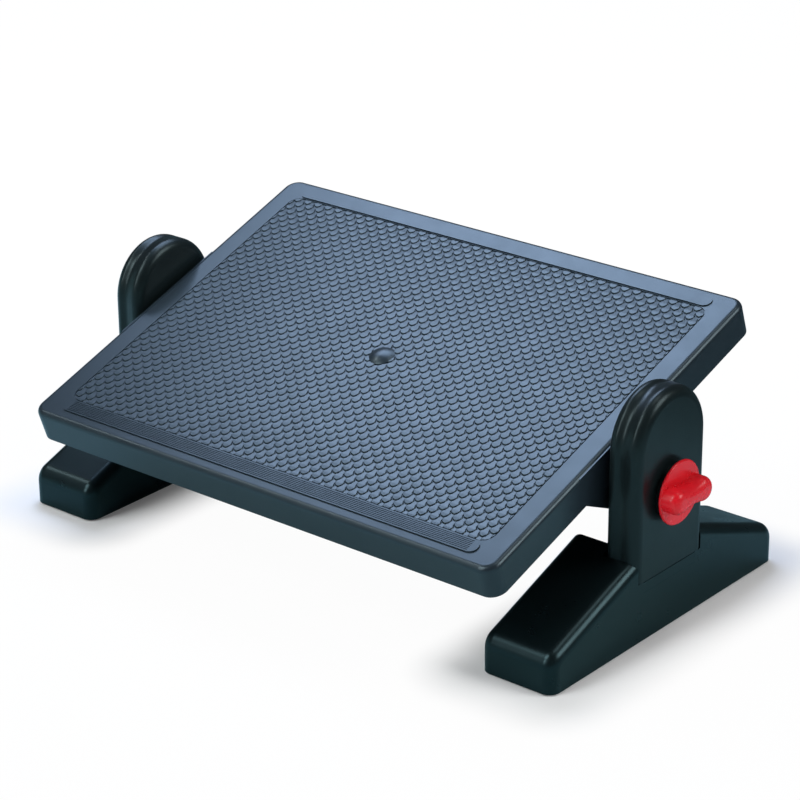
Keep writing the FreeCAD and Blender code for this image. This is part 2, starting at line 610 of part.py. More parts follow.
def build_lugs(body):
    """The right lug with its journal bore, nut pocket and stop notch, then its mirror."""
    outline = new_sketch(body, "lug_outline", "YZ_Plane", "lug_inner")
    draw_lug(outline, "lug_radius", "lug_flare", "skirt_foot",
             "top_above_pivot - plate_thickness / 2")
    block = pad(body, "lug_block", outline, "lug_depth")
    hollow = new_sketch(body, "lug_hollow_outline", "YZ_Plane", "lug_inner")
    draw_lug(hollow, "lug_radius - lug_wall", "lug_flare - lug_wall", "skirt_foot + lug_wall / 2",
             "plate_under")
    hollowing = pocket(body, "lug_hollow", hollow, "lug_depth - lug_web")
    parts = [block, hollowing]
    hub = new_sketch(body, "hub_outline", "YZ_Plane", "lug_inner")
    draw_circle(hub, "0", "0", "hub_radius")
    parts.append(pad(body, "hub", hub, "lug_depth"))
    upper = new_sketch(body, "hub_rib_outline", "YZ_Plane", "lug_inner")
    draw_rectangle(upper, "-hub_rib / 2", "0", "hub_rib / 2",
                   "top_above_pivot - plate_thickness / 2")
    parts.append(pad(body, "hub_upper_rib", upper, "lug_depth - lug_web / 2"))
    across = new_sketch(body, "hub_cross_outline", "YZ_Plane", "lug_inner")
    draw_rectangle(across, "lug_wall / 2 - lug_radius", "-hub_rib / 2",
                   "lug_radius - lug_wall / 2", "hub_rib / 2")
    parts.append(pad(body, "hub_cross_rib", across, "lug_depth - lug_web / 2"))
    face = new_sketch(body, "lug_face_outline", "YZ_Plane", "side - lug_web / 2")
    draw_circle(face, "0", "0", "lug_face_radius")
    parts.append(pad(body, "lug_rubbing_face", face, "lug_proud + lug_web / 2"))
    bore = new_sketch(body, "journal_bore_outline", "YZ_Plane", "lug_face")
    draw_circle(bore, "0", "0", "journal_radius + journal_clearance")
    parts.append(pocket(body, "journal_bore", bore, "journal_reach", forward=False))
    notch = new_sketch(body, "stop_notch_outline", "YZ_Plane", "lug_face")
    spare = "tooth_angle / 2"
    draw_wedge(notch, "tooth_radius + tooth_clearance",
               f"270 - tilt_most - {spare}", f"270 - tilt_least + {spare}")
    parts.append(pocket(body, "stop_notch", notch, "tooth_length + end_clearance", forward=False))
    hole = new_sketch(body, "lug_stud_hole_outline", "YZ_Plane", "lug_inner")
    draw_circle(hole, "0", "0", "stud_hole")
    parts.append(pocket(body, "lug_stud_hole", hole, "lug_depth"))
    nest = new_sketch(body, "nut_pocket_outline", "YZ_Plane", "lug_inner")
    draw_hexagon(nest, "nut_circle + nut_clearance")
    parts.append(pocket(body, "nut_pocket", nest, "nut_thickness + nut_sunk"))
    twin = body.newObject("PartDesign::Mirrored", "left_lug")
    twin.Originals = parts
    twin.MirrorPlane = (origin_feature(body, "YZ_Plane"), [""])
    body.Tip = twin
    DOC.recompute()


def draw_hexagon(sketch, radius):
    """A hexagon about the origin with two corners on the sketch's x."""
    draw_polygon(sketch, [(f"({radius}) * cos({60 * i})", f"({radius}) * sin({60 * i})")
                          for i in range(6)])


def build_foot(label):
    """A foot: two sloping wings with a saddle between, ribbed inside, socketed for the plug."""
    body = new_body(label)
    profile = new_sketch(body, label + "_profile", "YZ_Plane", "foot_inner")
    wing = [("-foot_half_length", "pad_proud"), ("-foot_half_length", "foot_end_height"),
            ("-ridge_offset", "ridge_height"), ("-ridge_offset", "seat_height")]
    mirrored = [(y[1:], z) for y, z in reversed(wing)]
    draw_polygon(profile, wing + mirrored)
    pad(body, label + "_block", profile, "foot_width")
    reach, end = number("foot_half_length"), number("foot_end_height")
    width = number("foot_width")

    def end_top(edge):
        (x0, y0, z0), (x1, y1, z1) = edge_box(edge)
        return near(x1 - x0, width) and near(z0, end) and near(abs(y0), reach)

    round_edges(body, label + "_end_tops", end_top, "foot_end_round")
    saddle = number("ridge_offset")

    def rim(edge):
        (x0, y0, z0), (x1, y1, z1) = edge_box(edge)
        outside = min(abs(y0), abs(y1)) > saddle - 1e-4 and not near(y1 - y0, 0)
        return near(x0, x1) and outside and z1 > end / 2

    round_edges(body, label + "_rims", rim, "foot_round")
    bay = new_sketch(body, label + "_bay_plan", "XY_Plane", "seat_height")
    draw_bay(bay, "inner_face - seat_clearance", "outer_face + 1")
    pocket(body, label + "_upright_bay", bay, "ridge_height - seat_height + 1")
    build_foot_cells(body, label)
    socket = new_sketch(body, label + "_socket_plan", "XY_Plane", "seat_height")
    draw_rectangle(socket, "inner_face + plug_inset - socket_clearance", "-socket_half_width",
                   "outer_face - plug_inset + socket_clearance", "socket_half_width")
    pocket(body, label + "_socket", socket, "plug_depth", forward=False)
    holes = new_sketch(body, label + "_screw_hole_plan", "XY_Plane", "plug_foot")
    for x, y in screw_places():
        draw_circle(holes, x, y, "screw_radius + screw_clearance")
    pocket(body, label + "_screw_holes", holes, "seat_plate + 1", forward=False)
    stand(body)


def screw_places():
    """Where the four screws of a foot stand: one pair in each shell's half of the plug."""
    quarter = "(upright_thickness - 2 * plug_inset) / 4"
    return [(f"split {sign} {quarter}", f"{front}screw_offset")
            for sign in "+-" for front in ("", "-")]


def pad_places():
    """Where the four rubber pads of a foot lie."""
    return [(x, f"{front}(foot_half_length - pad_inset)")
            for x in ("foot_inner + pad_side_inset", "outer_face - pad_side_inset")
            for front in ("", "-")]


def build_foot_cells(body, label):
    """Hollows a foot from below in cells, which leaves its walls, ribs and pad columns."""
    bay_edge = "(upright_radius + seat_clearance + foot_rib)"
    end = "(foot_half_length - foot_end_wall)"
    wall = "(ridge_offset + foot_rib)"

    def roof(place):
        return f"foot_end_height + foot_slope * (foot_half_length - {place}) - roof_drop"

    def wing_cells(inner):
        middle = f"({inner} + {end}) / 2"
        return ((inner, f"({middle} - foot_rib / 2)"), (f"({middle} + foot_rib / 2)", end))

    def cut(name, start, depth, cells, flat):
        sketch = new_sketch(body, f"{label}_{name}_outline", "YZ_Plane", start)
        for near_end, far_end in cells:
            for sign in ("", "-"):
                draw_polygon(sketch, [
                    (sign + near_end, "0"), (sign + far_end, "0"),
                    (sign + far_end, roof(far_end)), (sign + near_end, roof(near_end))])
        for near_end, far_end, ceiling in flat:
            for sign in ("", "-"):
                draw_polygon(sketch, [(sign + near_end, "0"), (sign + far_end, "0"),
                                      (sign + far_end, ceiling), (sign + near_end, ceiling)])
        pocket(body, f"{label}_{name}", sketch, depth)

    saddle = "seat_height - seat_plate"
    cut("inboard_cells", "foot_inner + foot_wall",
        "inner_face - seat_clearance - foot_rib - foot_inner - foot_wall",
        wing_cells(wall), [("foot_rib / 2", "ridge_offset", saddle)])
    socket_edge = "(socket_half_width + seat_plate)"
    cut("outboard_cells", "inner_face", "upright_thickness - foot_wall",
        wing_cells(bay_edge),
        [("foot_rib / 2", "plug_half_width", "plug_foot - seat_plate"),
         (socket_edge, "(upright_radius - foot_rib)", saddle)])
    for end_name, places in (("back", pad_places()[0::2]), ("front", pad_places()[1::2])):
        name = f"{label}_{end_name}_columns"
        columns = new_sketch(body, name + "_plan", "XY_Plane", "pad_proud")
        for x, y in places:
            draw_circle(columns, x, y, "pad_radius + pad_clearance + column_wall")
        column = pad(body, name, columns, "pad_thickness")
        column.Type = "UpToFirst"
        DOC.recompute()
    recess = new_sketch(body, label + "_pad_recess_plan", "XY_Plane", "0")
    for x, y in pad_places():
        draw_circle(recess, x, y, "pad_radius + pad_clearance")
    pocket(body, label + "_pad_recesses", recess, "pad_thickness")


def build_shell(label, outer):
    """One half of an upright: an arched shell with rounded rim, ribs, stud tube and plug."""
    body = new_body(label)
    start = "split" if outer else "inner_face"
    face = number("outer_face" if outer else "inner_face")
    outline = new_sketch(body, label + "_outline", "YZ_Plane", start)
    draw_arch(outline, "upright_radius", "upright_arch", "seat_height")
    pad(body, label + "_block", outline, "upright_thickness / 2")
    foot = number("seat_height")

    def rim(edge):
        (x0, _, _), (x1, _, z1) = edge_box(edge)
        return near(x0, face) and near(x1, face) and not near(z1, foot)

    round_edges(body, label + "_rim", rim, "upright_round")
    hollow = new_sketch(body, label + "_hollow_outline", "YZ_Plane", "split")
    draw_arch(hollow, "upright_radius - upright_wall", "upright_arch",
              "seat_height + upright_wall")
    pocket(body, label + "_hollow", hollow, "upright_thickness / 2 - upright_wall", outer)
    floor = number("outer_face - upright_wall" if outer else "inner_face + upright_wall")
    sill = number("seat_height + upright_wall")

    def hollow_rim(edge):
        (x0, _, _), (x1, _, z1) = edge_box(edge)
        return near(x0, floor) and near(x1, floor) and not near(z1, sill)

    round_edges(body, label + "_hollow_rim", hollow_rim, "upright_round - upright_wall")
    inside = "split" if outer else "inner_face + upright_wall / 2"
    depth = "upright_thickness / 2 - upright_wall / 2"
    ribs = new_sketch(body, label + "_rib_outline", "YZ_Plane", inside)
    draw_rectangle(ribs, "-shell_rib / 2", "seat_height + upright_wall / 2", "shell_rib / 2",
                   "upright_arch + rib_reach")
    pad(body, label + "_upright_rib", ribs, depth)
    cross = new_sketch(body, label + "_cross_rib_outline", "YZ_Plane", inside)
    for height in ("pivot_height", "upright_arch", "(seat_height + pivot_height) / 2"):
        draw_rectangle(cross, "-rib_reach", f"{height} - shell_rib / 2",
                       "rib_reach", f"{height} + shell_rib / 2")
    pad(body, label + "_cross_ribs", cross, depth)
    tube = new_sketch(body, label + "_tube_outline", "YZ_Plane", inside)
    draw_circle(tube, "0", "pivot_height", "tube_radius")
    pad(body, label + "_tube", tube, depth)
    bosses = new_sketch(body, label + "_boss_outline", "YZ_Plane", inside)
    for y, z in peg_places():
        draw_circle(bosses, y, z, "peg_radius * 2")
    pad(body, label + "_bosses", bosses, depth)
    plug = new_sketch(body, label + "_plug_outline", "YZ_Plane",
                      "split" if outer else "inner_face + plug_inset")
    draw_rectangle(plug, "-plug_half_width", "plug_foot", "plug_half_width",
                   "seat_height + upright_wall / 2")
    pad(body, label + "_plug", plug, "upright_thickness / 2 - plug_inset")
    pilots = new_sketch(body, label + "_pilot_plan", "XY_Plane", "plug_foot")
    for x, y in screw_places()[:2] if outer else screw_places()[2:]:
        draw_circle(pilots, x, y, "screw_radius")
    pocket(body, label + "_pilots", pilots, "screw_length - seat_plate")
    if outer:
        build_outer_details(body, label)
    else:
        build_inner_details(body, label)
    stand(body)


def peg_places():
    """Where the shells' locating pegs stand."""
    low = "(seat_height + pivot_height) / 2"
    side = "(upright_radius / 2)"
    return [("-" + side, low), (side, low), ("-" + side, "upright_arch"), (side, "upright_arch")]


def build_outer_details(body, label):
    """The outer shell's collar, stud hole and peg holes."""
    collar = new_sketch(body, label + "_collar_outline", "YZ_Plane", "outer_face - upright_wall / 2")
    draw_circle(collar, "0", "pivot_height", "collar_radius")
    pad(body, label + "_collar", collar, "collar_proud + upright_wall / 2")
    recess = new_sketch(body, label + "_collar_recess_outline", "YZ_Plane", "outer_face")
    draw_circle(recess, "0", "pivot_height", "collar_bore")
    pocket(body, label + "_collar_recess", recess, "collar_proud + 1")
    hole = new_sketch(body, label + "_stud_hole_outline", "YZ_Plane", "split")
    draw_circle(hole, "0", "pivot_height", "stud_hole")
    pocket(body, label + "_stud_hole", hole, "upright_thickness / 2 + 1")
    holes = new_sketch(body, label + "_peg_hole_outline", "YZ_Plane", "split")
    for y, z in peg_places():
        draw_circle(holes, y, z, "peg_radius + peg_clearance")
    pocket(body, label + "_peg_holes", holes, "peg_length + end_clearance")


def build_inner_details(body, label):
    """The inner shell's journal, stop tooth, stud hole and pegs."""
    journal = new_sketch(body, label + "_journal_outline", "YZ_Plane", "journal_end")
    draw_circle(journal, "0", "pivot_height", "journal_radius")
    pad(body, label + "_journal", journal, "inner_face + upright_wall / 2 - journal_end")
    tooth = new_sketch(body, label + "_tooth_outline", "YZ_Plane", "lug_face - tooth_length")
    half = "(tooth_angle / 2 - tooth_clearance)"
    draw_polygon(tooth, [
        ("0", "pivot_height"),
        (f"-tooth_radius * sin({half})", f"pivot_height - tooth_radius * cos({half})"),
        (f"tooth_radius * sin({half})", f"pivot_height - tooth_radius * cos({half})")])
    pad(body, label + "_tooth", tooth,
        "tooth_length + friction_thickness + rubbing_gap + upright_wall / 2")
    hole = new_sketch(body, label + "_stud_hole_outline", "YZ_Plane", "journal_end")
    draw_circle(hole, "0", "pivot_height", "stud_hole")
    pocket(body, label + "_stud_hole", hole, "split - journal_end")
    pegs = new_sketch(body, label + "_peg_outline", "YZ_Plane", "split - peg_length")
    for y, z in peg_places():
        draw_circle(pegs, y, z, "peg_radius")
    pad(body, label + "_pegs", pegs, "2 * peg_length")


def build_knob(label, turn=0):
    """The wing knob: a flange with a rounded rim, a hub and a waisted wing, turned as it rests."""
    body = new_body(label)
    profile = new_sketch(body, label + "_profile", "XZ_Plane")
    draw_polygon(profile, [
        ("knob_hub_foot", "0"), ("knob_front", "0"), ("knob_front", "knob_radius"),
        ("knob_back", "knob_radius"), ("knob_back", "knob_hub_radius"),
        ("knob_hub_foot", "knob_hub_radius")])
    spin(body, label + "_flange", profile)
    back, front, radius = number("knob_back"), number("knob_front"), number("knob_radius")

    def flange_rim(edge):
        box = edge.BoundBox
        at_face = near(box.XMin, back) or near(box.XMin, front)
        return at_face and near(box.XLength, 0) and near(box.ZMax, radius)

    round_edges(body, label + "_rim", flange_rim, "knob_rim")
    wing = new_sketch(body, label + "_wing_outline", "YZ_Plane", "knob_front - knob_flange / 2")
    draw_bow(wing, "wing_reach", "wing_lobe", "wing_waist")
    pad(body, label + "_wing", wing, "wing_height + knob_flange / 2")
    crest = number("knob_front + wing_height")
    round_edges(body, label + "_wing_edge", lambda e: near(e.BoundBox.XMin, crest), "wing_round")
    bore = new_sketch(body, label + "_bore_outline", "YZ_Plane", "knob_hub_foot")
    draw_circle(bore, "0", "0", "stud_radius")
    pocket(body, label + "_bore", bore, "stud_head - knob_hub_foot")
    rest = FreeCAD.Rotation(FreeCAD.Vector(1, 0, 0), turn)
    body.Placement = FreeCAD.Placement(FreeCAD.Vector(0, 0, 0), rest)
    stand(body, "pivot_height")


def build_stud(label):
    """The clamping stud, grooved at its tip for the retaining clip."""
    body = new_body(label)
    profile = new_sketch(body, label + "_profile", "XZ_Plane")
    groove = "(stud_tip + clip_setback)"
    chamfer = "(stud_radius - clip_groove_radius)"
    draw_polygon(profile, [
        ("stud_tip", "0"), ("stud_head", "0"), ("stud_head", "stud_radius"),
        (f"{groove} + clip_thickness", "stud_radius"),
        (f"{groove} + clip_thickness", "clip_groove_radius"),
        (groove, "clip_groove_radius"), (groove, "stud_radius"),
        (f"stud_tip + {chamfer}", "stud_radius"), ("stud_tip", "clip_groove_radius")])
    spin(body, label + "_turned", profile)
    stand(body, "pivot_height")


def build_clip(label):
    """The open retaining clip in the stud's groove."""
    body = new_body(label)
    outline = new_sketch(body, label + "_outline", "YZ_Plane", "stud_tip + clip_setback")
    draw_circle(outline, "0", "0", "clip_radius")
    draw_circle(outline, "0", "0", "clip_groove_radius")
    pad(body, label + "_ring", outline, "clip_thickness")
    mouth = new_sketch(body, label + "_mouth_outline", "YZ_Plane", "stud_tip + clip_setback")
    draw_rectangle(mouth, "-clip_groove_radius * 0.8", "-clip_radius - 1",
                   "clip_groove_radius * 0.8", "0")
    pocket(body, label + "_mouth", mouth, "clip_thickness")
    stand(body, "pivot_height")


def build_ring(label, start, thickness, outside, inside):
    """A plain washer on the tilt axis."""
    body = new_body(label)
    outline = new_sketch(body, label + "_outline", "YZ_Plane", start)
    draw_circle(outline, "0", "0", outside)
    draw_circle(outline, "0", "0", inside)
    pad(body, label + "_ring", outline, thickness)
    stand(body, "pivot_height")


def build_nut(label):
    """The clamp nut in the lug's pocket."""
    body = new_body(label)
    start = "lug_inner + nut_sunk"
    outline = new_sketch(body, label + "_outline", "YZ_Plane", start)
    draw_hexagon(outline, "nut_circle")
    draw_circle(outline, "0", "0", "stud_radius + thread_clearance")
    pad(body, label + "_hexagon", outline, "nut_thickness")
    tilt_with_tray(body)


def build_cylinders(label, places, low, pieces):
    """A group of upright turned pieces: at each place a stack of radius and height."""
    solids = []
    for index, (x, y) in enumerate(places):
        stack = []
        base = low
        for part, (radius, height) in enumerate(pieces):
            item = DOC.addObject("Part::Cylinder", f"{label}_{index}_{part}")
            bind(item, "Radius", radius)
            bind(item, "Height", height)
            bind(item, "Placement.Base.x", x)
            bind(item, "Placement.Base.y", y)
            bind(item, "Placement.Base.z", base)
            stack.append(item)
            base = f"{base} + {height}"
        if len(stack) > 1:
            joined = DOC.addObject("Part::MultiFuse", f"{label}_{index}")
            joined.Shapes = stack
            stack = [joined]
        solids.append(stack[0])
    group = DOC.addObject("Part::Compound", label)
    group.Label = label
    group.Links = solids
    NODES.append(group)
    stand(group)


def build_right_side():
    """Everything of the right side, from the foot up to the knob."""
    build_foot("right_foot")
    build_cylinders("right_foot_pads", pad_places(), "0", [("pad_radius", "pad_thickness")])
    build_shell("right_upright_outer_shell", outer=True)
    build_shell("right_upright_inner_shell", outer=False)
    build_cylinders("right_foot_screws", screw_places(),
                    "plug_foot - seat_plate - screw_head_height",
                    [("screw_head_radius", "screw_head_height"), ("screw_radius", "screw_length")])
    build_ring("right_friction_washer", "lug_face", "friction_thickness",
               "lug_face_radius", "tooth_radius + tooth_clearance")
    build_nut("right_clamp_nut")
    build_ring("right_knob_washer", "outer_face", "washer_thickness", "washer_radius", "stud_hole")
    build_knob("right_knob")
    build_stud("right_knob_stud")
    build_clip("right_stud_clip")


def mirror_left_side():
    """The left side: each right piece mirrored in the middle plane, the knob with a quarter turn."""
    sources = {node.Label: node for node in NODES[1:]}
    build_knob("left_knob_blank", turn=90)
    sources["right_knob"] = NODES.pop()
    for name, source in sources.items():
        label = "left" + name.removeprefix("right")
        twin = DOC.addObject("Part::Mirroring", label)
        twin.Label = label
        twin.Source = source
        twin.Normal = FreeCAD.Vector(1, 0, 0)
        NODES.append(twin)


def check_document():
    """Stops if any object failed, or if a node's shape is missing or not valid."""
    for item in DOC.Objects:
        if "Invalid" in item.State or "Error" in item.State:
            raise RuntimeError(f"{item.Label}: {item.State}")
    for node in NODES:
        if node.Shape.isNull() or not node.Shape.isValid():
            raise RuntimeError(f"{node.Label}: bad shape")


def main():
    """Builds the footrest and writes one file for each node."""
    fill_sheet()
    build_platform()
    build_right_side()
    mirror_left_side()
    DOC.recompute()
    check_document()
    os.makedirs("parts", exist_ok=True)
    for node in NODES:
        node.Shape.exportStep(f"parts/{node.Label}.step")
        box = node.Shape.BoundBox
        print(f"{node.Label}: {len(node.Shape.Solids)} solids, {node.Shape.Volume:.0f} mm3, "
              f"x {box.XMin:.1f} {box.XMax:.1f} y {box.YMin:.1f} {box.YMax:.1f} "
              f"z {box.ZMin:.1f} {box.ZMax:.1f}")


main()
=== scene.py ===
"""Tilting under-desk footrest: the finish of every moulding and the scale tread of the tray.

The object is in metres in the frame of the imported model: +Z up, X along the tilt axis to the
right, Y towards the back. Sizes of the object's own pieces and finishes are in millimetres,
those of the lamps, the floor and the camera in metres. Turns are in degrees.
"""
import json
import logging
import math
from dataclasses import dataclass, field
from enum import Enum
from typing import Sequence

import bmesh
import bpy
from mathutils import Matrix, Vector


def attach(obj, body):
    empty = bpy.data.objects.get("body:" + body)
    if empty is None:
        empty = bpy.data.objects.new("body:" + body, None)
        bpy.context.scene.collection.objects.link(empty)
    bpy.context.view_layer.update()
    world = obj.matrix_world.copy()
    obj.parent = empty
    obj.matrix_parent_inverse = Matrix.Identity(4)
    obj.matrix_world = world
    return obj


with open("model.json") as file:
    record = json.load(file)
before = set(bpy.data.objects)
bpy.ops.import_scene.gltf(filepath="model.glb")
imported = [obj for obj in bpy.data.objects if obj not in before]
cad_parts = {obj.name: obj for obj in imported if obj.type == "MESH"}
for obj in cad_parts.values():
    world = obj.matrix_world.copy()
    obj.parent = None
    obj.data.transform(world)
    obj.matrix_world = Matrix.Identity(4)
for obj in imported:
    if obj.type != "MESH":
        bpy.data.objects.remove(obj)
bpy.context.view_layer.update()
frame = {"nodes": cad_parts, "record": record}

LOG = logging.getLogger("footrest")
MM = 0.001
MIX_FIRST, MIX_SECOND, MIX_RESULT = 6, 7, 2
CUT_DISTANCE = 1e-5
WELD_DISTANCE = 1e-4

Colour = tuple[float, float, float]


class Side(Enum):
    """The two ends of the tilt axis, by the prefix of their nodes."""

    RIGHT = "right"
    LEFT = "left"

    @property
    def sign(self) -> int:
        """Which way the side lies along X."""
        return 1 if self is Side.RIGHT else -1

    def node(self, name: str) -> str:
        """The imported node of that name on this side."""
        return f"{self.value}_{name}"


class Body(Enum):
    """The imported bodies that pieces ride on."""

    BASE = "base"
    TRAY = "tray"


class Pattern:
    """A material's node tree, with one short method for each kind of node it needs."""

    def __init__(self, name: str) -> None:
        """Starts an empty material with a Principled shader that reads Object coordinates.

        Args:
            name: Name of the material.
        """
        self.material = bpy.data.materials.new(name)
        self.material.use_nodes = True
        self.tree = self.material.node_tree
        self.tree.nodes.clear()
        output = self.tree.nodes.new("ShaderNodeOutputMaterial")
        self.shader = self.tree.nodes.new("ShaderNodeBsdfPrincipled")
        self.link(self.shader.outputs["BSDF"], output.inputs["Surface"])
        self.place = self.tree.nodes.new("ShaderNodeTexCoord").outputs["Object"]

    def link(self, source: bpy.types.NodeSocket, target: bpy.types.NodeSocket) -> None:
        """Joins two sockets."""
        self.tree.links.new(source, target)

    def stretched(self, scale: Sequence[float]) -> bpy.types.NodeSocket:
        """Object coordinates scaled differently along each axis.

        Args:
            scale: Factor along X, Y and Z.

        Returns:
            The scaled coordinates.
        """
        mapping = self.tree.nodes.new("ShaderNodeMapping")
        mapping.inputs["Scale"].default_value = scale
        self.link(self.place, mapping.inputs["Vector"])
        return mapping.outputs["Vector"]

    def noise(self, size: float, detail: float = 2.0, rough: float = 0.5,
              place: bpy.types.NodeSocket | None = None) -> bpy.types.NodeSocket:
        """Cloudy noise.

        Args:
            size: Width of one blotch in millimetres.
            detail: Number of finer layers.
            rough: Strength of the finer layers.
            place: Coordinates, or the plain Object ones.

        Returns:
            The noise, from 0 to 1.
        """
        node = self.tree.nodes.new("ShaderNodeTexNoise")
        node.inputs["Scale"].default_value = 1 / (size * MM)
        node.inputs["Detail"].default_value = detail
        node.inputs["Roughness"].default_value = rough
        self.link(place or self.place, node.inputs["Vector"])
        return node.outputs["Fac"]

    def pebbles(self, size: float) -> bpy.types.NodeSocket:
        """Rounded grains, as spark erosion leaves on a mould.

        Args:
            size: Width of one grain in millimetres.

        Returns:
            Distance from the nearest grain's middle.
        """
        node = self.tree.nodes.new("ShaderNodeTexVoronoi")
        node.inputs["Scale"].default_value = 1 / (size * MM)
        self.link(self.place, node.inputs["Vector"])
        return node.outputs["Distance"]

    def vector(self, operation: str, first: bpy.types.NodeSocket,
               second: Sequence[float] = (0.0, 0.0, 0.0)) -> bpy.types.NodeSocket:
        """One step of vector arithmetic.

        Args:
            operation: Name of the step.
            first: The vector that it works on.
            second: The fixed other vector.

        Returns:
            The resulting vector.
        """
        node = self.tree.nodes.new("ShaderNodeVectorMath")
        node.operation = operation
        self.link(first, node.inputs[0])
        node.inputs[1].default_value = second
        return node.outputs["Vector"]

    def length(self, place: bpy.types.NodeSocket) -> bpy.types.NodeSocket:
        """Length of a vector.

        Args:
            place: The vector.

        Returns:
            Its length.
        """
        node = self.tree.nodes.new("ShaderNodeVectorMath")
        node.operation = "LENGTH"
        self.link(place, node.inputs[0])
        return node.outputs["Value"]

    def valley(self, middle: float, reach: float) -> bpy.types.NodeSocket:
        """A soft valley across X, the same on both sides of the object.

        Args:
            middle: Distance of the valley from the object's middle, in millimetres.
            reach: Half its width in millimetres.

        Returns:
            0 in the valley, 1 outside it.
        """
        beside = self.vector("SUBTRACT", self.vector("ABSOLUTE", self.place),
                             (middle * MM, 0.0, 0.0))
        away = self.length(self.vector("MULTIPLY", beside, (1.0, 0.0, 0.0)))
        return self.spread(away, 0, 1, 0, reach * MM, smooth=True)

    def spread(self, value: bpy.types.NodeSocket, low: float, high: float,
               start: float = 0.3, end: float = 0.7,
               smooth: bool = False) -> bpy.types.NodeSocket:
        """Maps a value to a range.

        Args:
            value: The value.
            low: Result at start.
            high: Result at end.
            start: Value that gives low.
            end: Value that gives high.
            smooth: Ease in and out of the range.

        Returns:
            The mapped value.
        """
        node = self.tree.nodes.new("ShaderNodeMapRange")
        node.interpolation_type = "SMOOTHSTEP" if smooth else "LINEAR"
        node.inputs["From Min"].default_value = start
        node.inputs["From Max"].default_value = end
        node.inputs["To Min"].default_value = low
        node.inputs["To Max"].default_value = high
        self.link(value, node.inputs["Value"])
        return node.outputs["Result"]

    def blend(self, factor: bpy.types.NodeSocket, first: Colour,
              second: Colour | bpy.types.NodeSocket) -> bpy.types.NodeSocket:
        """Blends two colours.

        Args:
            factor: 0 for the first colour, 1 for the second.
            first: Linear red, green and blue.
            second: Linear red, green and blue, or another blend.

        Returns:
            The blended colour.
        """
        node = self.tree.nodes.new("ShaderNodeMix")
        node.data_type = "RGBA"
        node.inputs[MIX_FIRST].default_value = (*first, 1)
        if isinstance(second, bpy.types.NodeSocket):
            self.link(second, node.inputs[MIX_SECOND])
        else:
            node.inputs[MIX_SECOND].default_value = (*second, 1)
        self.link(factor, node.inputs[0])
        return node.outputs[MIX_RESULT]

    def relief(self, height: bpy.types.NodeSocket, depth: float, strength: float,
               under: bpy.types.NodeSocket | None = None) -> bpy.types.NodeSocket:
        """Bends the normal by a height.

        Args:
            height: The height, from 0 to 1.
            depth: Depth in millimetres of a height of 1.
            strength: Share of the effect.
            under: Normal from a coarser relief.

        Returns:
            The bent normal.
        """
        node = self.tree.nodes.new("ShaderNodeBump")
        node.inputs["Distance"].default_value = depth * MM
        node.inputs["Strength"].default_value = strength
        self.link(height, node.inputs["Height"])
        if under is not None:
            self.link(under, node.inputs["Normal"])
        return node.outputs["Normal"]

    def set(self, **values: float | tuple[float, ...]) -> None:
        """Sets constants on the shader's own sockets, an underscore standing for a space."""
        for name, value in values.items():
            self.shader.inputs[name.replace("_", " ")].default_value = value


@dataclass(frozen=True)
class Seam:
    """The soft valley along the split between an upright's two shells."""

    middle: float = 243.25
    reach: float = 8.0
    depth: float = 2.0


@dataclass(frozen=True)
class MouldedPlastic:
    """Injection-moulded plastic with a fine grain, flow marks and slightly uneven gloss."""

    name: str
    colour: Colour
    flow_colour: Colour
    roughness: float
    uneven: float
    grain: float
    grain_depth: float
    grain_strength: float
    specular: float = 0.5
    sheen: Colour = (1.0, 1.0, 1.0)
    seam: Seam | None = None
    flow_size: float = 60
    smudge_size: float = 18
    sink_size: float = 35
    sink_depth: float = 0.25
    sink_strength: float = 0.15

    def build(self) -> bpy.types.Material:
        """Makes the material.

        Returns:
            The new material.
        """
        pattern = Pattern(self.name)
        clouds = pattern.noise(self.flow_size, detail=3)
        factor = pattern.spread(clouds, 0, 1)
        pattern.link(pattern.blend(factor, self.colour, self.flow_colour),
                     pattern.shader.inputs["Base Color"])
        smudges = pattern.noise(self.smudge_size, detail=5, rough=0.6)
        gloss = pattern.spread(smudges, self.roughness - self.uneven,
                               self.roughness + self.uneven)
        pattern.link(gloss, pattern.shader.inputs["Roughness"])
        sink = pattern.relief(pattern.noise(self.sink_size, detail=1), self.sink_depth,
                              self.sink_strength)
        if self.seam is not None:
            valley = pattern.valley(self.seam.middle, self.seam.reach)
            sink = pattern.relief(valley, self.seam.depth, 1.0, sink)
        pebbles = pattern.relief(pattern.pebbles(self.grain), self.grain_depth,
                                 self.grain_strength, sink)
        pattern.link(pebbles, pattern.shader.inputs["Normal"])
        pattern.set(Specular_IOR_Level=self.specular, Specular_Tint=(*self.sheen, 1))
        return pattern.material


@dataclass(frozen=True)
class SoftRubber:
    """Matt rubber with a fine dusty bloom."""

    name: str
    colour: Colour
    bloom: Colour
    roughness: float = 0.8
    uneven: float = 0.1
    dust_size: float = 4
    speck_size: float = 0.6
    speck_depth: float = 0.08
    speck_strength: float = 0.4

    def build(self) -> bpy.types.Material:
        """Makes the material.

        Returns:
            The new material.
        """
        pattern = Pattern(self.name)
        dust = pattern.spread(pattern.noise(self.dust_size, detail=6, rough=0.65), 0, 1)
        pattern.link(pattern.blend(dust, self.colour, self.bloom),
                     pattern.shader.inputs["Base Color"])
        gloss = pattern.spread(dust, self.roughness - self.uneven,
                               self.roughness + self.uneven, 0, 1)
        pattern.link(gloss, pattern.shader.inputs["Roughness"])
        specks = pattern.noise(self.speck_size, detail=3)
        pattern.link(pattern.relief(specks, self.speck_depth, self.speck_strength),
                     pattern.shader.inputs["Normal"])
        return pattern.material


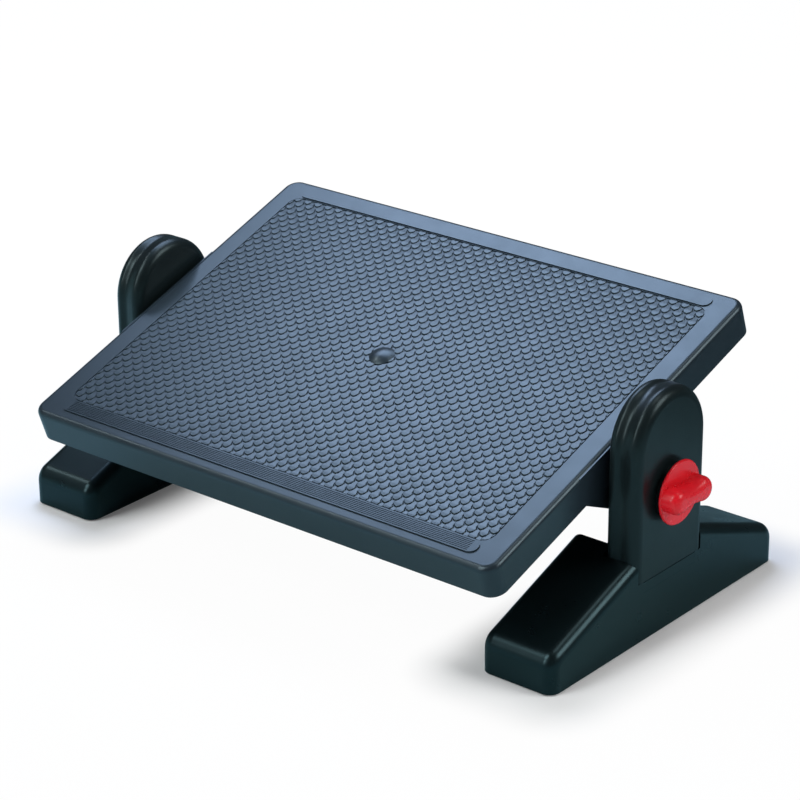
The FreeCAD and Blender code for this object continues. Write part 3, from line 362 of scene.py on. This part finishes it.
@dataclass(frozen=True)
class PlatedSteel:
    """Bright zinc plate over turned steel, with tool marks round the X axis."""

    name: str
    colour: Colour
    tarnish: Colour
    roughness: float = 0.3
    smoother: float = 0.08
    rougher: float = 0.12
    stain_size: float = 5
    mark_size: float = 1.2
    mark_stretch: tuple[float, float, float] = (6, 0.3, 0.3)
    mark_depth: float = 0.03
    mark_strength: float = 0.5

    def build(self) -> bpy.types.Material:
        """Makes the material.

        Returns:
            The new material.
        """
        pattern = Pattern(self.name)
        stains = pattern.spread(pattern.noise(self.stain_size, detail=4), 0, 1)
        pattern.link(pattern.blend(stains, self.colour, self.tarnish),
                     pattern.shader.inputs["Base Color"])
        marks = pattern.noise(self.mark_size, detail=2,
                              place=pattern.stretched(self.mark_stretch))
        gloss = pattern.spread(marks, self.roughness - self.smoother,
                               self.roughness + self.rougher)
        pattern.link(gloss, pattern.shader.inputs["Roughness"])
        pattern.link(pattern.relief(marks, self.mark_depth, self.mark_strength),
                     pattern.shader.inputs["Normal"])
        pattern.set(Metallic=1.0)
        return pattern.material


Finish = MouldedPlastic | SoftRubber | PlatedSteel

TRAY_PLASTIC = MouldedPlastic(
    "tray_plastic", colour=(0.014, 0.022, 0.030), flow_colour=(0.017, 0.026, 0.034),
    roughness=0.31, uneven=0.03, grain=0.55, grain_depth=0.04, grain_strength=0.14,
    specular=0.5, sheen=(0.72, 0.92, 1.0))
FOOT_PLASTIC = MouldedPlastic(
    "foot_plastic", colour=(0.0030, 0.0062, 0.0072), flow_colour=(0.0038, 0.0074, 0.0084),
    roughness=0.30, uneven=0.03, grain=0.7, grain_depth=0.03, grain_strength=0.07,
    specular=0.36, sheen=(0.55, 0.92, 1.0))
UPRIGHT_PLASTIC = MouldedPlastic(
    "upright_plastic", colour=(0.0060, 0.0105, 0.0115), flow_colour=(0.0072, 0.0120, 0.0130),
    roughness=0.33, uneven=0.04, grain=0.6, grain_depth=0.03, grain_strength=0.10,
    specular=0.30, sheen=(0.75, 0.97, 1.0), seam=Seam())
KNOB_PLASTIC = MouldedPlastic(
    "knob_plastic", colour=(0.76, 0.010, 0.020), flow_colour=(0.80, 0.013, 0.024),
    roughness=0.27, uneven=0.03, grain=0.8, grain_depth=0.02, grain_strength=0.05,
    specular=0.32)
PAD_RUBBER = SoftRubber("pad_rubber", (0.018, 0.018, 0.019), (0.034, 0.033, 0.032))
WASHER_RUBBER = SoftRubber("washer_rubber", (0.040, 0.040, 0.042), (0.058, 0.056, 0.054), 0.6)
ZINC = PlatedSteel("zinc_steel", (0.62, 0.62, 0.60), (0.50, 0.50, 0.47))


class Finishes:
    """Makes each finish once and hands it out."""

    def __init__(self) -> None:
        """Starts with no finish made."""
        self.made: dict[str, bpy.types.Material] = {}

    def of(self, finish: Finish) -> bpy.types.Material:
        """The material of a finish, made on its first use.

        Args:
            finish: The finish.

        Returns:
            Its material.
        """
        if finish.name not in self.made:
            self.made[finish.name] = finish.build()
        return self.made[finish.name]

    def dress(self, node: str, finish: Finish) -> None:
        """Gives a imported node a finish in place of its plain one.

        Args:
            node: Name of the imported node.
            finish: The finish.
        """
        piece = frame["nodes"][node]
        material = self.of(finish)
        if not piece.material_slots:
            piece.data.materials.append(material)
        for place in piece.material_slots:
            place.material = material
        LOG.info("%s: %s", node, finish.name)


class TreadPlane:
    """The sunk floor of the tread field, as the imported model's tread mount gives it."""

    def __init__(self) -> None:
        """Reads the mount and sets the directions across, along and out of the tray."""
        mount = next(m for m in frame["record"]["mounts"] if m["name"] == "tread")
        self.normal = Vector(mount["axis"]).normalized()
        self.across = Vector((1, 0, 0))
        self.along = self.normal.cross(self.across)
        place = Vector(mount["pos_m"])
        self.middle = Vector((0, place.y, place.z))

    def matrix(self) -> Matrix:
        """Takes a point across, along and above the floor in millimetres to the frame."""
        turn = Matrix((self.across, self.along, self.normal)).transposed().to_4x4()
        return Matrix.Translation(self.middle) @ turn @ Matrix.Scale(MM, 4)


@dataclass
class ScaleTread:
    """The field of overlapping scales, each a round tongue that points to the front."""

    pitch_across: float = 11.0
    pitch_along: float = 5.44
    first_across: float = -2.4
    first_along: float = -0.6
    radius: float = 3.75
    neck: float = 1.9
    reach: float = 7.0
    height: float = 0.98
    low: float = 0.1
    edge: float = 0.6
    half_width: float = 204.5
    front: float = -138.7
    back: float = 141.7
    corner: float = 9.0
    sunk: float = 0.05
    arc_steps: int = 8
    corner_cuts: tuple[float, ...] = (22.5, 45, 67.5)

    def flank(self) -> list[tuple[float, float, float, float]]:
        """The right edge of one scale from its front to the back of its neck.

        Returns:
            Places across and along, each with the direction that points out of the scale.
        """
        points = []
        last = math.pi - math.asin(self.neck / self.radius)
        for step in range(1, self.arc_steps + 1):
            turn = last * (step - 0.5) / self.arc_steps
            way = (math.sin(turn), -math.cos(turn))
            points.append((self.radius * way[0], self.radius * way[1], *way))
        points.append((self.neck, self.reach, 1.0, 0.0))
        return points

    def level(self, along: float) -> float:
        """Height of the scale's top: flat over the round front, falling along the neck."""
        share = min(1.0, max(0.0, (self.reach - along) / self.reach))
        return self.low + (self.height - self.low) * share

    def one_scale(self) -> bmesh.types.BMesh:
        """One closed scale with a rounded edge, made of strips across its width.

        Returns:
            A bmesh about the middle of the scale's round front.
        """
        bm = bmesh.new()
        flank = self.flank()
        rows = []
        for inset, drop in ((0.0, None), (0.0, self.edge), (self.edge, 0.0)):
            ring = []
            for sign in (1, -1):
                side = []
                for x, y, way_x, way_y in flank:
                    spot = y - inset * way_y
                    height = -self.sunk if drop is None else max(self.level(spot) - drop, 0.0)
                    side.append(bm.verts.new((sign * (x - inset * way_x), spot, height)))
                ring.append(side)
            rows.append(ring)
        for low, high in zip(rows, rows[1:]):
            loop_low = low[0] + low[1][::-1]
            loop_high = high[0] + high[1][::-1]
            count = len(loop_low)
            for i in range(count):
                bm.faces.new((loop_low[i], loop_low[(i + 1) % count],
                              loop_high[(i + 1) % count], loop_high[i])).smooth = True
        right, left = rows[-1]
        for i in range(len(right) - 1):
            bm.faces.new((right[i], right[i + 1], left[i + 1], left[i]))
        bm.faces.new(rows[0][0] + rows[0][1][::-1])
        bmesh.ops.recalc_face_normals(bm, faces=bm.faces)
        return bm

    def copies(self, bm: bmesh.types.BMesh, moves: Sequence[Vector]) -> None:
        """Repeats everything in the bmesh at each move and leaves the first in place.

        Args:
            bm: The bmesh that is repeated.
            moves: Where the copies go, from the first.
        """
        first = list(bm.verts) + list(bm.edges) + list(bm.faces)
        for move in moves:
            made = bmesh.ops.duplicate(bm, geom=first)["geom"]
            verts = [item for item in made if isinstance(item, bmesh.types.BMVert)]
            bmesh.ops.translate(bm, verts=verts, vec=move)

    def cut(self, bm: bmesh.types.BMesh, place: Vector, outwards: Vector) -> None:
        """Cuts away what lies beyond a plane and closes the cut scales.

        Args:
            bm: The field.
            place: A point of the plane.
            outwards: Direction of the waste.
        """
        geom = list(bm.verts) + list(bm.edges) + list(bm.faces)
        cut = bmesh.ops.bisect_plane(bm, geom=geom, dist=CUT_DISTANCE, plane_co=place,
                                     plane_no=outwards, clear_outer=True)["geom_cut"]
        edges = [item for item in cut if isinstance(item, bmesh.types.BMEdge)]
        bmesh.ops.edgenet_fill(bm, edges=[edge for edge in edges if edge.is_boundary])

    def trim(self, bm: bmesh.types.BMesh) -> None:
        """Trims the field to its rectangle with rounded corners."""
        for sign in (1, -1):
            self.cut(bm, Vector((sign * self.half_width, 0, 0)), Vector((sign, 0, 0)))
        self.cut(bm, Vector((0, self.front, 0)), Vector((0, -1, 0)))
        self.cut(bm, Vector((0, self.back, 0)), Vector((0, 1, 0)))
        for sign in (1, -1):
            for end, outer in ((self.front, -1), (self.back, 1)):
                middle = Vector((sign * (self.half_width - self.corner),
                                 end - outer * self.corner, 0))
                for turn in self.corner_cuts:
                    way = Vector((sign * math.cos(math.radians(turn)),
                                  outer * math.sin(math.radians(turn)), 0))
                    self.cut(bm, middle + way * self.corner, way)

    def build(self, plane: TreadPlane, material: bpy.types.Material) -> None:
        """Makes the field in two pieces, left and right, and lets them ride on the tray.

        Args:
            plane: Where the field lies.
            material: The tray's finish.
        """
        columns = math.ceil(self.half_width / self.pitch_across) + 1
        rows_front = math.ceil(-self.front / self.pitch_along) + 2
        rows_back = math.ceil(self.back / self.pitch_along) + 2
        for side in Side:
            bm = self.one_scale()
            start = 0 if side is Side.RIGHT else -1
            place = Vector((self.first_across + start * self.pitch_across, self.first_along, 0))
            bmesh.ops.translate(bm, verts=bm.verts, vec=place)
            step = side.sign * self.pitch_across
            self.copies(bm, [Vector((i * step, 0, 0)) for i in range(1, columns)])
            self.copies(bm, [Vector((self.pitch_across / 2 * (k % 2), k * self.pitch_along, 0))
                             for k in range(-rows_front, rows_back) if k])
            self.trim(bm)
            self.finish(bm, side, plane, material)

    def finish(self, bm: bmesh.types.BMesh, side: Side, plane: TreadPlane,
               material: bpy.types.Material) -> None:
        """Puts half the field on the tray as a piece.

        Args:
            bm: The half field, in millimetres about the tray's middle.
            side: Which half it is.
            plane: Where the field lies.
            material: The tray's finish.
        """
        piece = new_piece(f"tread_scales_{side.value}", bm, plane.matrix(), material)
        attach(piece, Body.TRAY.value)


def new_piece(name: str, bm: bmesh.types.BMesh, place: Matrix,
              material: bpy.types.Material) -> bpy.types.Object:
    """Makes an object at the origin from a bmesh, with its place in its mesh.

    Args:
        name: Name of the piece.
        bm: Its shape, freed here.
        place: From the bmesh's own coordinates to the frame.
        material: Its finish.

    Returns:
        The new object.
    """
    bmesh.ops.transform(bm, matrix=place, verts=bm.verts)
    mesh = bpy.data.meshes.new(name)
    bm.to_mesh(mesh)
    bm.free()
    mesh.materials.append(material)
    piece = bpy.data.objects.new(name, mesh)
    bpy.context.scene.collection.objects.link(piece)
    LOG.info("%s: %d faces", name, len(mesh.polygons))
    return piece


@dataclass
class Tray:
    """The tilting tray: its moulding, the scale tread and the clamping parts in its lugs."""

    tread: ScaleTread = field(default_factory=ScaleTread)

    def build(self, finishes: Finishes) -> None:
        """Dresses the tray's nodes and lays the tread on it.

        Args:
            finishes: Where the finishes come from.
        """
        finishes.dress("platform", TRAY_PLASTIC)
        self.tread.build(TreadPlane(), finishes.of(TRAY_PLASTIC))
        for side in Side:
            finishes.dress(side.node("friction_washer"), WASHER_RUBBER)
            finishes.dress(side.node("clamp_nut"), ZINC)


@dataclass
class Stand:
    """One side's foot and upright. The lip's sizes run across, along and up."""

    side: Side
    lip_size: tuple[float, float, float] = (3.6, 73.0, 8.7)
    lip_outer: float = 257.45
    lip_along: float = 9.68
    lip_top: float = 47.7

    def build(self, finishes: Finishes) -> None:
        """Dresses the stand's nodes.

        Args:
            finishes: Where the finishes come from.
        """
        finishes.dress(self.side.node("foot"), FOOT_PLASTIC)
        self.build_lip(finishes.of(FOOT_PLASTIC))
        finishes.dress(self.side.node("foot_pads"), PAD_RUBBER)
        finishes.dress(self.side.node("foot_screws"), ZINC)
        for shell in ("upright_outer_shell", "upright_inner_shell"):
            finishes.dress(self.side.node(shell), UPRIGHT_PLASTIC)
        finishes.dress(self.side.node("knob_washer"), ZINC)

    def build_lip(self, material: bpy.types.Material) -> None:
        """Squares the saddle's outer edge, so that the upright meets the foot in a thin line.

        Args:
            material: The foot's finish.
        """
        bm = bmesh.new()
        bmesh.ops.create_cube(bm, size=1.0)
        bmesh.ops.scale(bm, vec=self.lip_size, verts=bm.verts)
        place = Vector((self.side.sign * (self.lip_outer - self.lip_size[0] / 2),
                        self.lip_along, self.lip_top - self.lip_size[2] / 2))
        bmesh.ops.translate(bm, vec=place, verts=bm.verts)
        piece = new_piece(f"{self.side.value}_saddle_lip", bm, Matrix.Scale(MM, 4), material)
        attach(piece, Body.BASE.value)


@dataclass
class Clamp:
    """One side's knob with its stud and clip."""

    side: Side

    def build(self, finishes: Finishes) -> None:
        """Dresses the clamp's nodes.

        Args:
            finishes: Where the finishes come from.
        """
        finishes.dress(self.side.node("knob"), KNOB_PLASTIC)
        finishes.dress(self.side.node("knob_stud"), ZINC)
        finishes.dress(self.side.node("stud_clip"), ZINC)


@dataclass(frozen=True)
class Lamp:
    """A soft disc of light far away, as large as it looks from the object."""

    name: str
    towards: tuple[float, float, float]
    strength: float
    spread: float
    colour: Colour

    def build(self) -> None:
        """Adds the lamp to the scene."""
        data = bpy.data.lights.new(self.name, "SUN")
        data.energy = self.strength
        data.angle = math.radians(self.spread)
        data.color = self.colour
        lamp = bpy.data.objects.new(self.name, data)
        lamp.rotation_euler = Vector(self.towards).to_track_quat("Z", "Y").to_euler()
        bpy.context.scene.collection.objects.link(lamp)


@dataclass(frozen=True)
class Softbox:
    """A level panel of light over the object, near enough to fade across it."""

    name: str
    place: tuple[float, float, float]
    size: tuple[float, float]
    power: float
    colour: Colour

    def build(self) -> None:
        """Adds the panel to the scene."""
        data = bpy.data.lights.new(self.name, "AREA")
        data.shape = "RECTANGLE"
        data.size, data.size_y = self.size
        data.energy = self.power
        data.color = self.colour
        lamp = bpy.data.objects.new(self.name, data)
        lamp.location = self.place
        bpy.context.scene.collection.objects.link(lamp)


@dataclass
class Studio:
    """Pale floor, soft lamps and the camera.

    Within shadow_reach of a foot's outline the floor shows its shadow, and further out it is
    white to the camera. Glossy rays meet painted reflection colours in place of the floor's
    own:
    a teal tint for the plastics' reflections, which fades over painted_reflection_end along Y
    into a painted dark reflection behind the object.
    """

    floor_radius: float = 14.0
    floor_segments: int = 64
    wall_steps: int = 12
    floor_colour: Colour = (0.93, 0.915, 0.91)
    # Painted reflection: glossy rays see these colours on the floor instead of floor_colour, a
    # teal tint in the plastics' reflections and a dark one behind the object.
    painted_reflection_colour: Colour = (0.36, 0.61, 0.65)
    painted_dark_reflection_behind: Colour = (0.05, 0.09, 0.10)
    painted_reflection_end: tuple[float, float] = (0.20, 0.42)
    feet_place: tuple[float, float] = (0.2256, 0.0097)
    feet_half: tuple[float, float] = (0.0319, 0.1405)
    shadow_reach: float = 0.06
    shadow_share: float = 0.08
    white_share: float = 0.97
    wall_height: float = 2.6
    wall_curve: float = 1.5
    surroundings: Colour = (0.055, 0.050, 0.050)
    camera_place: tuple[float, float, float] = (1.3042, -1.5502, 0.9793)
    yaw: float = 39.78
    pitch: float = 23.14
    roll: float = -0.44
    focal_pixels: float = 2886.6
    photo_width: int = 800
    sensor: float = 36.0
    lamps: tuple[Lamp, ...] = (
        Lamp("overhead", (0.15, 0.20, 0.97), 0.30, 20, (1.0, 1.0, 1.0)),
        Lamp("front_softbox", (-0.30, -0.58, 0.76), 1.10, 25, (0.92, 0.98, 1.0)),
        Lamp("front_low", (-0.30, -0.86, 0.42), 0.60, 18, (0.92, 0.98, 1.0)),
        Lamp("left_strip", (-0.60, -0.15, 0.78), 0.30, 12, (0.95, 0.99, 1.0)),
        Lamp("right_softbox", (0.72, 0.36, 0.59), 1.20, 28, (0.95, 0.99, 1.0)),
    )
    softbox: Softbox = Softbox("back_softbox", (-0.58, 0.50, 1.05), (0.88, 0.66), 13.2,
                               (0.58, 0.72, 1.0))

    def build(self) -> None:
        """Adds the floor, the lamps, the surroundings and the camera."""
        self.build_floor()
        for lamp in (*self.lamps, self.softbox):
            lamp.build()
        world = bpy.data.worlds.new("surroundings")
        world.use_nodes = True
        background = world.node_tree.nodes["Background"]
        background.inputs["Color"].default_value = (*self.surroundings, 1)
        bpy.context.scene.world = world
        self.build_camera()
        bpy.context.scene.view_settings.view_transform = "Standard"

    def build_floor(self) -> None:
        """A round floor that curves up into a low wall far away."""
        bm = bmesh.new()
        start = self.floor_radius - self.wall_curve
        profile = [Vector((0, 0, 0)), Vector((start, 0, 0))]
        for i in range(1, self.wall_steps + 1):
            turn = math.radians(90 * i / self.wall_steps)
            profile.append(Vector((start + self.wall_curve * math.sin(turn), 0,
                                   self.wall_curve * (1 - math.cos(turn)))))
        profile.append(Vector((self.floor_radius, 0, self.wall_height)))
        verts = [bm.verts.new(point) for point in profile]
        edges = [bm.edges.new(pair) for pair in zip(verts, verts[1:])]
        bmesh.ops.spin(bm, geom=verts + edges, cent=(0, 0, 0), axis=(0, 0, 1),
                       angle=2 * math.pi, steps=self.floor_segments, use_merge=True)
        bmesh.ops.remove_doubles(bm, verts=bm.verts, dist=WELD_DISTANCE)
        bmesh.ops.recalc_face_normals(bm, faces=bm.faces)
        for face in bm.faces:
            face.smooth = True
        floor = new_piece("studio_floor", bm, Matrix.Identity(4), self.floor_material())

    def whiteness(self, pattern: Pattern) -> bpy.types.NodeSocket:
        """Share of plain white by the distance from the outline of the nearer foot.

        Args:
            pattern: The floor's material.

        Returns:
            shadow_share at the foot, white_share from shadow_reach on.
        """
        place = pattern.vector("SUBTRACT", pattern.place, (0.0, self.feet_place[1], 0.0))
        place = pattern.vector("ABSOLUTE", place)
        place = pattern.vector("SUBTRACT", place, (self.feet_place[0], 0.0, 0.0))
        place = pattern.vector("ABSOLUTE", place)
        place = pattern.vector("SUBTRACT", place, (*self.feet_half, 1.0))
        place = pattern.vector("MAXIMUM", place)
        return pattern.spread(pattern.length(place), self.shadow_share, self.white_share, 0,
                              self.shadow_reach, smooth=True)

    def painted_reflection(self, pattern: Pattern) -> bpy.types.NodeSocket:
        """Painted reflection: the colour that glossy rays meet on the floor in place of its
        own, which tints the plastics' reflections teal and darkens them behind the object.

        Args:
            pattern: The floor's material.

        Returns:
            painted_reflection_colour, fading to painted_dark_reflection_behind towards the
            back.
        """
        along = pattern.vector("MULTIPLY", pattern.place, (0.0, 1.0, 0.0))
        behind = pattern.length(pattern.vector("MAXIMUM", along))
        fade = pattern.spread(behind, 0, 1, *self.painted_reflection_end, smooth=True)
        return pattern.blend(fade, self.painted_reflection_colour, self.painted_dark_reflection_behind)

    def floor_material(self) -> bpy.types.Material:
        """Matt pale floor with a plain white share for camera rays and painted reflection
        colours for glossy rays.

        Returns:
            The new material.
        """
        pattern = Pattern("studio_floor")
        nodes = pattern.tree.nodes
        pattern.set(Roughness=1.0, Specular_IOR_Level=0.0)
        path = nodes.new("ShaderNodeLightPath")
        # Painted reflection: glossy rays see the teal colour, darker behind, instead of the
        # floor's own colour.
        colour = pattern.blend(path.outputs["Is Glossy Ray"], self.floor_colour,
                               self.painted_reflection(pattern))
        pattern.link(colour, pattern.shader.inputs["Base Color"])
        share = nodes.new("ShaderNodeMath")
        share.operation = "MULTIPLY"
        pattern.link(self.whiteness(pattern), share.inputs[0])
        pattern.link(path.outputs["Is Camera Ray"], share.inputs[1])
        white = nodes.new("ShaderNodeEmission")
        mix = nodes.new("ShaderNodeMixShader")
        pattern.link(share.outputs[0], mix.inputs["Fac"])
        pattern.link(pattern.shader.outputs["BSDF"], mix.inputs[1])
        pattern.link(white.outputs["Emission"], mix.inputs[2])
        output = next(node for node in nodes if node.type == "OUTPUT_MATERIAL")
        pattern.link(mix.outputs["Shader"], output.inputs["Surface"])
        return pattern.material

    def build_camera(self) -> None:
        """The photograph's camera: front right, looking down on the tray."""
        data = bpy.data.cameras.new("camera")
        data.sensor_width = self.sensor
        data.lens = self.focal_pixels * self.sensor / self.photo_width
        camera = bpy.data.objects.new("camera", data)
        turn = (Matrix.Rotation(math.radians(self.yaw), 4, "Z")
                @ Matrix.Rotation(math.radians(90 - self.pitch), 4, "X")
                @ Matrix.Rotation(math.radians(self.roll), 4, "Z"))
        camera.matrix_world = Matrix.Translation(self.camera_place) @ turn
        bpy.context.scene.collection.objects.link(camera)
        bpy.context.scene.camera = camera


def main() -> None:
    """Builds the footrest and the studio in order."""
    logging.basicConfig(level=logging.INFO, format="%(message)s")
    finishes = Finishes()
    Tray().build(finishes)
    for side in Side:
        Stand(side).build(finishes)
        Clamp(side).build(finishes)
    Studio().build()


if __name__ == "__main__":
    main()
